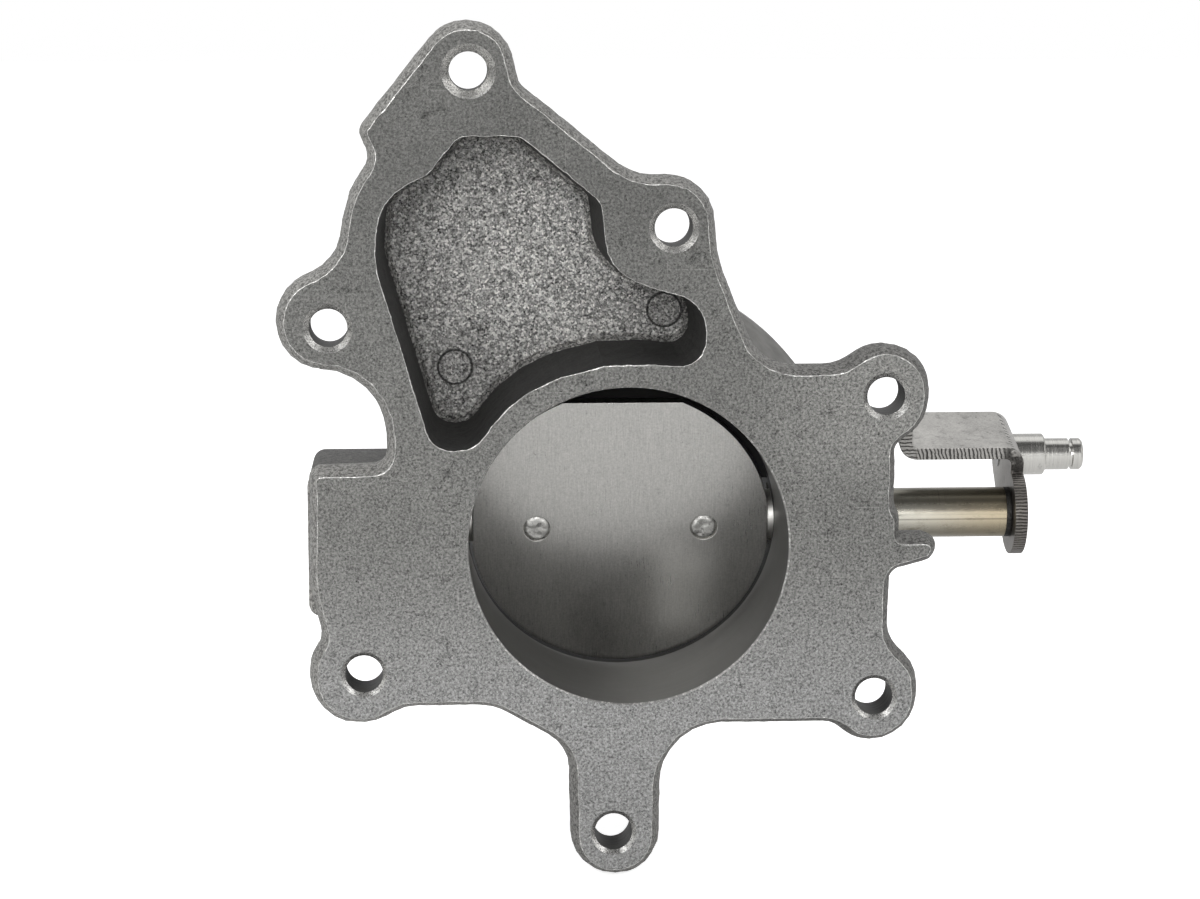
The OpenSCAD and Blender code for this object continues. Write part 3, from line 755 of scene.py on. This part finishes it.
def housing_slots(piece, pocket, worn):
    """The finish of each face of the housing while its flange face is open."""
    centre, normal = face_facts(piece)
    points = corners(piece)
    away = np.hypot(points[:, 0], points[:, 2])
    # the pocket's faces that look forward take the sand; its walls take the same iron painted near black as
    # shade
    slots = np.where(worn, WORN, np.where(pocket, np.where(normal[:, 1] < -0.45, SAND, SHADED_WALL), SKIN))
    on_rim = (points[:, 1] > RIM_START) & (away > BARREL_R + 2.5 * MM) & (away < RIM_R)
    slots[whole_faces(piece, on_rim)] = RIM
    passage = whole_faces(piece, away < BORE_R + 0.6 * MM)
    slots[passage] = np.where(centre[passage, 1] < 0.5 * MM, WORN, BORED)
    slots[whole_faces(piece, points[:, 1] > BODY_L - 0.8 * MM)] = RIM
    slots[(np.abs(centre[:, 1] - PAD_FACE) < NEAR_PLANE) & (normal[:, 1] > 0.9)] = RIM
    in_holes = near_holes(points, CHAMFER_END + 0.1 * MM) & (points[:, 1] < FLANGE_T + 1 * MM)
    holes = whole_faces(piece, in_holes) & ~worn
    slots[holes & (normal[:, 1] < -0.3)] = TURNED
    slots[holes & (np.abs(normal[:, 1]) < 0.3)] = DRILLED
    return slots


def housing():
    """The casting: uneven where it is cast, worn along its cut edges, and smooth where it is machined."""
    piece = merged_copy("housing", "housing_casting")
    select_faces(piece, flange_front(piece))
    bpy.ops.mesh.delete(type="FACE")
    bpy.ops.object.mode_set(mode="OBJECT")
    open_chamfers(piece)

    select_faces(piece, pocket_faces(piece))
    slice_selected(POCKET_LOW, POCKET_HIGH, (0.8 * MM, 1.2 * MM, 0.8 * MM))
    pocket = pocket_faces(piece)
    roughen(piece, pocket, 1.1, 0.35)
    roughen(piece, pocket, 5.0, 0.5)

    select_faces(piece, band_faces(piece, pocket))
    slice_selected(*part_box("housing"), (1.5 * MM,) * 3)
    pocket = pocket_faces(piece)
    band = band_faces(piece, pocket)
    roughen(piece, band, 1.6, 0.3)
    roughen(piece, band, 7.0, 0.4)

    before = len(piece.data.polygons)
    roll_edge(piece, 0.24 * MM)
    worn = np.arange(len(piece.data.polygons)) >= before
    pocket = np.append(pocket, np.zeros(len(worn) - before, bool))
    slots = housing_slots(piece, pocket, worn)
    piece.data.polygons.foreach_set("material_index", slots.astype(np.int32))
    for finish in HOUSING_FINISHES:
        piece.data.materials.append(finish())
    close_face(piece)
    shade(piece, SHARP_UNEVEN)
    settle(piece, "housing", "housing_iron")


def dressed(node, name, body, slot, width_mm, material):
    """A piece that keeps the CAD's shape, with its edges broken."""
    piece = merged_copy(node, name)
    finish_edges(piece, width_mm)
    settle(piece, body, slot, material)


def lever():
    """The bent lever: satin on its faces, scored on its sheared edges."""
    piece = merged_copy("actuator_lever", "bent_lever")
    finish_edges(piece, 0.3)
    centre, normal = face_facts(piece)
    across_web = np.abs(normal[:, 1] * math.cos(WEB_TURN) + normal[:, 2] * math.sin(WEB_TURN))
    sheared = np.where(centre[:, 0] > ARM_START, np.abs(normal[:, 0]) < 0.5, across_web > 0.7)
    piece.data.polygons.foreach_set("material_index", sheared.astype(np.int32))
    settle(piece, "valve", "lever_steel", lever_steel(), sheared_steel())


def rivet_end(piece):
    """The faces of a rivet's peened end, which stands in front of the plate."""
    centre, normal = face_facts(piece)
    out = -normal[:, 1] * math.cos(REST_TURN) - normal[:, 2] * math.sin(REST_TURN)
    deep = (centre[:, 1] - SHAFT_Y) * math.cos(REST_TURN) + centre[:, 2] * math.sin(REST_TURN)
    return (out > 0.5) & (deep < RIVET_SEAT)


def rivet(node, name, material):
    """A plate rivet whose peened end is dented and lies a little deep in its seat."""
    piece = merged_copy(node, name)
    select_faces(piece, rivet_end(piece))
    sink = 0.4 * MM
    bpy.ops.transform.translate(value=(0, sink * math.cos(REST_TURN), sink * math.sin(REST_TURN)))
    bpy.ops.mesh.inset(thickness=0.5 * MM, depth=0.35 * MM)
    bpy.ops.mesh.inset(thickness=0.4 * MM, depth=0.1 * MM)
    bpy.ops.object.mode_set(mode="OBJECT")
    select_faces(piece, rivet_end(piece))
    slice_selected(*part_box(node), (0.35 * MM,) * 3)
    roughen(piece, rivet_end(piece), 1.9, 0.4)
    shade(piece, SHARP_UNEVEN)
    settle(piece, "valve", "rivet_steel", material)


housing()
bush = plain_steel("bush_steel", 0.34, (1.0, 0.93, 0.8))
pressed = plain_steel("plug_steel", 0.48, rough=0.32)
seal = plain_steel("seal_steel", 0.16)
for node in ("blind_side_bush", "lever_side_bush", "thrust_disc"):
    dressed(node, node + "_ground", "housing", "bush_steel", 0.15, bush)
for node in ("blind_side_plug", "seal_ring_keeper"):
    dressed(node, node + "_pressed", "housing", "plug_steel", 0.25, pressed)
for node in ("inner_seal_ring", "outer_seal_ring"):
    dressed(node, node + "_ground", "housing", "seal_steel", 0.1, seal)
dressed("valve_shaft", "polished_shaft", "valve", "shaft_steel", 0.15, shaft_steel())
dressed("butterfly_plate", "brushed_plate", "valve", "plate_steel", 0.2, plate_steel())
peened = peened_steel()
rivet("left_plate_rivet", "left_peened_rivet", peened)
rivet("right_plate_rivet", "right_peened_rivet", peened)
weld = plain_steel("weld_steel", 0.05, rough=0.6)
dressed("shaft_weld_ring", "weld_ring", "valve", "weld_steel", 0.2, weld)
lever()
dressed("actuator_pin", "turned_pin", "valve", "pin_steel", 0.12, pin_steel())


# Stage

FLOOR_Z = cad_box[0][2]
FLOOR_SIZE = 12
LAMP_AIM = Vector((0, 0, 10 * MM))

# fitted to the bore, the bolt holes and the outlet rim: turned to the right and down by degrees, lens in mm
CAMERA_PLACE = (-43.573 * MM, -705.456 * MM, 137.316 * MM)
CAMERA_TURN = 2.977
CAMERA_DROP = 9.156
CAMERA_LENS = 91.11


class Room(Shader):
    """The same helpers on the world's nodes. The place is the direction in which a ray leaves."""

    def __init__(self, name):
        world = bpy.data.worlds.new(name)
        world.use_nodes = True
        bpy.context.scene.world = world
        self.tree = world.node_tree
        self.place = self.node("ShaderNodeTexCoord", {}, {}, "Generated")


def rays(shader):
    """1 for rays that see a thing straight or through glass, and 1 for rays that see it in metal."""
    straight, glossy, through = (shader.node("ShaderNodeLightPath", {}, {}, f"Is {kind} Ray")
                                 for kind in ("Camera", "Glossy", "Transmission"))
    return straight.math("MAXIMUM", through), glossy


def floor():
    """A pale floor that looks white where no shadow falls on it."""
    deselect()
    bpy.ops.mesh.primitive_plane_add(size=FLOOR_SIZE, location=(0, 0, FLOOR_Z))
    piece = bpy.context.active_object
    piece.name = "floor"
    s = Shader("pale_floor", base_color=(0.9, 0.9, 0.9, 1), roughness=0.95)
    direct, glossy = rays(s)
    glow = s.node("ShaderNodeEmission", {}, {"Color": (1, 1, 1), "Strength": 0.75 * direct + 0.1 * glossy})
    both = s.node("ShaderNodeAddShader", {}, {0: Value(s, s.surface.outputs["BSDF"]), 1: glow})
    s.feed(s.tree.nodes["Material Output"].inputs["Surface"], both)
    piece.data.materials.append(s.material)


def surroundings():
    """White behind the object. Metal also sees the studio in front, pale up to eye level and dark above."""
    s = Room("studio")
    direct, glossy = rays(s)
    height = s.axis("Z")
    studio = 0.16 + 0.84 * height.ramp(0.3, 0.12)
    seen = 1 + s.axis("Y").ramp(0.1, -0.25) * (studio - 1)
    level = 0.4 + glossy * (seen - 0.4)
    background = s.tree.nodes["Background"].inputs
    s.feed(background["Color"], (1, 1, 1))
    s.feed(background["Strength"], level + direct * (1 - level))


def lamp(name, place, size, watts):
    data = bpy.data.lights.new(name, "AREA")
    data.shape = "RECTANGLE"
    data.size, data.size_y = size
    data.energy = watts
    made = bpy.data.objects.new(name, data)
    bpy.context.scene.collection.objects.link(made)
    made.location = place
    made.rotation_euler = (LAMP_AIM - Vector(place)).to_track_quat("-Z", "Y").to_euler()


def camera():
    data = bpy.data.cameras.new("camera")
    data.sensor_width = 36
    data.lens = CAMERA_LENS
    data.clip_start = 0.01
    made = bpy.data.objects.new("camera", data)
    bpy.context.scene.collection.objects.link(made)
    made.location = CAMERA_PLACE
    made.rotation_euler = (math.radians(90 - CAMERA_DROP), 0, -math.radians(CAMERA_TURN))
    bpy.context.scene.camera = made


floor()
surroundings()
lamp("soft light beside the camera", (-0.15, -1.25, 0.32), (0.5, 0.4), 6.5)
lamp("soft light above left", (-0.7, -0.7, 0.8), (0.7, 0.7), 4)
lamp("soft light above right", (0.8, -0.6, 0.7), (0.6, 0.6), 3.5)
lamp("wide light above", (0, 0.3, 1.1), (1.2, 0.8), 3)
camera()
bpy.context.scene.view_settings.view_transform = "Standard"
